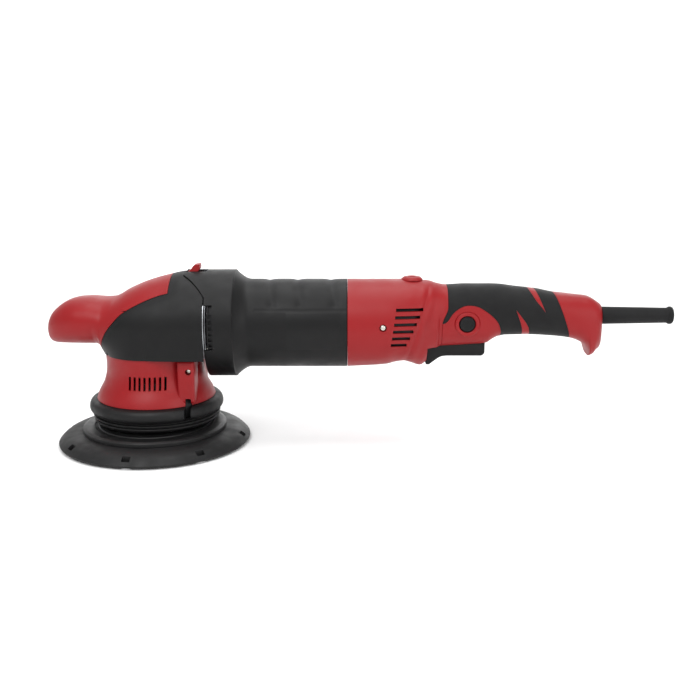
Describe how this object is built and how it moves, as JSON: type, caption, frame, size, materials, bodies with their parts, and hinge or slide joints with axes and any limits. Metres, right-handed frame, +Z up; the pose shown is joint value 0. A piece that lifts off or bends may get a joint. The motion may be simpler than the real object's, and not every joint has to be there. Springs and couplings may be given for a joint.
{
  "type": "dual action polisher",
  "caption": "Long-body dual action polisher: eccentric round backing plate under a gear head, motor barrel, trigger handle and cord boot.",
  "frame": {"origin": "on the drive spindle axis, on the underside of the backing plate", "axes": "+X along the motor towards the cord boot, +Z up along the spindle, -Y the side of the lock button"},
  "size_m": [0.4919, 0.15, 0.1394],
  "materials": {
    "red_abs": "moulded, satin, painted-through red",
    "black_nylon": "moulded, fine grain",
    "black_rubber": "overmoulded soft grip",
    "bumper_rubber": "moulded rubber",
    "plate_foam": "moulded polyurethane foam skin",
    "hook_fabric": "hook fastener",
    "glass_nylon": "glass-filled nylon",
    "die_cast": "die cast, satin",
    "bright_steel": "ground",
    "zinc_steel": "zinc plated",
    "dark_steel": "oiled",
    "cast_weight": "cast",
    "copper": "enamelled copper wire",
    "brass": "pressed",
    "carbon": "pressed carbon",
    "white_nylon": "moulded",
    "circuit": "potted board",
    "pvc": "insulated wire"
  },
  "bodies": {
    "housing": {"nose_grip": "red_abs", "head_cover_left": "black_nylon", "head_cover_right": "black_nylon", "gear_housing": "die_cast", "bearing_plate": "die_cast", "shroud": "red_abs", "bumper_ring": "bumper_rubber", "motor_housing": "black_nylon", "exhaust_grilles": "black_nylon", "slider_track": "bright_steel", "handle_left": "red_abs", "handle_right": "red_abs", "grip_left": "black_rubber", "grip_right": "black_rubber", "switch_surround_left": "red_abs", "switch_surround_right": "red_abs", "hanger_boss": "red_abs", "trigger_pin": "bright_steel", "switch_body": "glass_nylon", "switch_spring": "bright_steel", "speed_module": "circuit", "capacitor": "brass", "cord_boot": "black_rubber", "cord_clamp": "black_nylon", "inner_leads": "pvc", "housing_screws": "zinc_steel", "handle_screws": "zinc_steel", "shroud_screws": "zinc_steel", "gearbox_screws": "zinc_steel", "fan_baffle": "glass_nylon", "front_bearing": "bright_steel", "rear_bearing": "bright_steel", "rear_bracket": "glass_nylon", "upper_bearing": "bright_steel", "lower_bearing": "bright_steel", "stator_core": "dark_steel", "field_coils": "copper", "brush_holders": "brass", "carbon_brushes": "carbon"},
    "rotor": {"armature_shaft": "bright_steel", "armature_core": "dark_steel", "armature_windings": "copper", "commutator": "copper", "fan": "white_nylon", "pinion": "dark_steel"},
    "drive": {"spindle": "bright_steel", "ring_gear": "dark_steel", "counterweight": "cast_weight", "pad_bearings": "bright_steel"},
    "pad": {"pad_spindle": "bright_steel", "plate_hub": "glass_nylon", "plate_foam": "plate_foam", "hook_face": "hook_fabric", "plate_bolt": "zinc_steel", "plate_washer": "zinc_steel"},
    "trigger": {"trigger": "black_nylon"},
    "plunger": {"switch_plunger": "white_nylon"},
    "button": {"lock_button": "black_nylon"},
    "dial": {"speed_dial": "black_nylon"},
    "slider": {"lock_slider": "red_abs"}
  },
  "joints": [
    {"name": "spindle_spin", "type": "hinge", "parent": "housing", "child": "drive", "pos_m": [0, 0, 0.06], "axis": [0, 0, 1], "continuous": true},
    {"name": "armature_spin", "type": "hinge", "parent": "housing", "child": "rotor", "pos_m": [0.1, 0, 0.0926], "axis": [1, 0, 0], "continuous": true},
    {"name": "pad_spin", "type": "hinge", "parent": "drive", "child": "pad", "pos_m": [0, -0.0105, 0.03], "axis": [0, 0, 1], "continuous": true},
    {"name": "trigger_press", "type": "hinge", "parent": "housing", "child": "trigger", "pos_m": [0.2195, 0, 0.0842], "axis": [0, -1, 0], "range_deg": [0, 7], "stiffness_Nm_per_rad": 2, "springref_deg": -3.44},
    {"name": "plunger_slide", "type": "slide", "parent": "housing", "child": "plunger", "axis": [0, 0, 1], "range_m": [0, 0.004], "deforming": ["switch_spring"]},
    {"name": "lock_press", "type": "slide", "parent": "housing", "child": "button", "axis": [0, 1, 0], "range_m": [0, 0.003], "stiffness_N_per_m": 600, "springref_m": -0.001},
    {"name": "speed_turn", "type": "hinge", "parent": "housing", "child": "dial", "pos_m": [0.33, 0.008, 0.1051], "axis": [0, 0, 1], "range_deg": [0, 270]},
    {"name": "slider_move", "type": "slide", "parent": "housing", "child": "slider", "axis": [1, 0, 0], "range_m": [0, 0.005]}
  ],
  "couplings": [
    {"joint": "armature_spin", "follows": "spindle_spin", "ratio": 3.5},
    {"joint": "plunger_slide", "follows": "trigger_press", "m_per_rad": 0.0275}
  ]
}
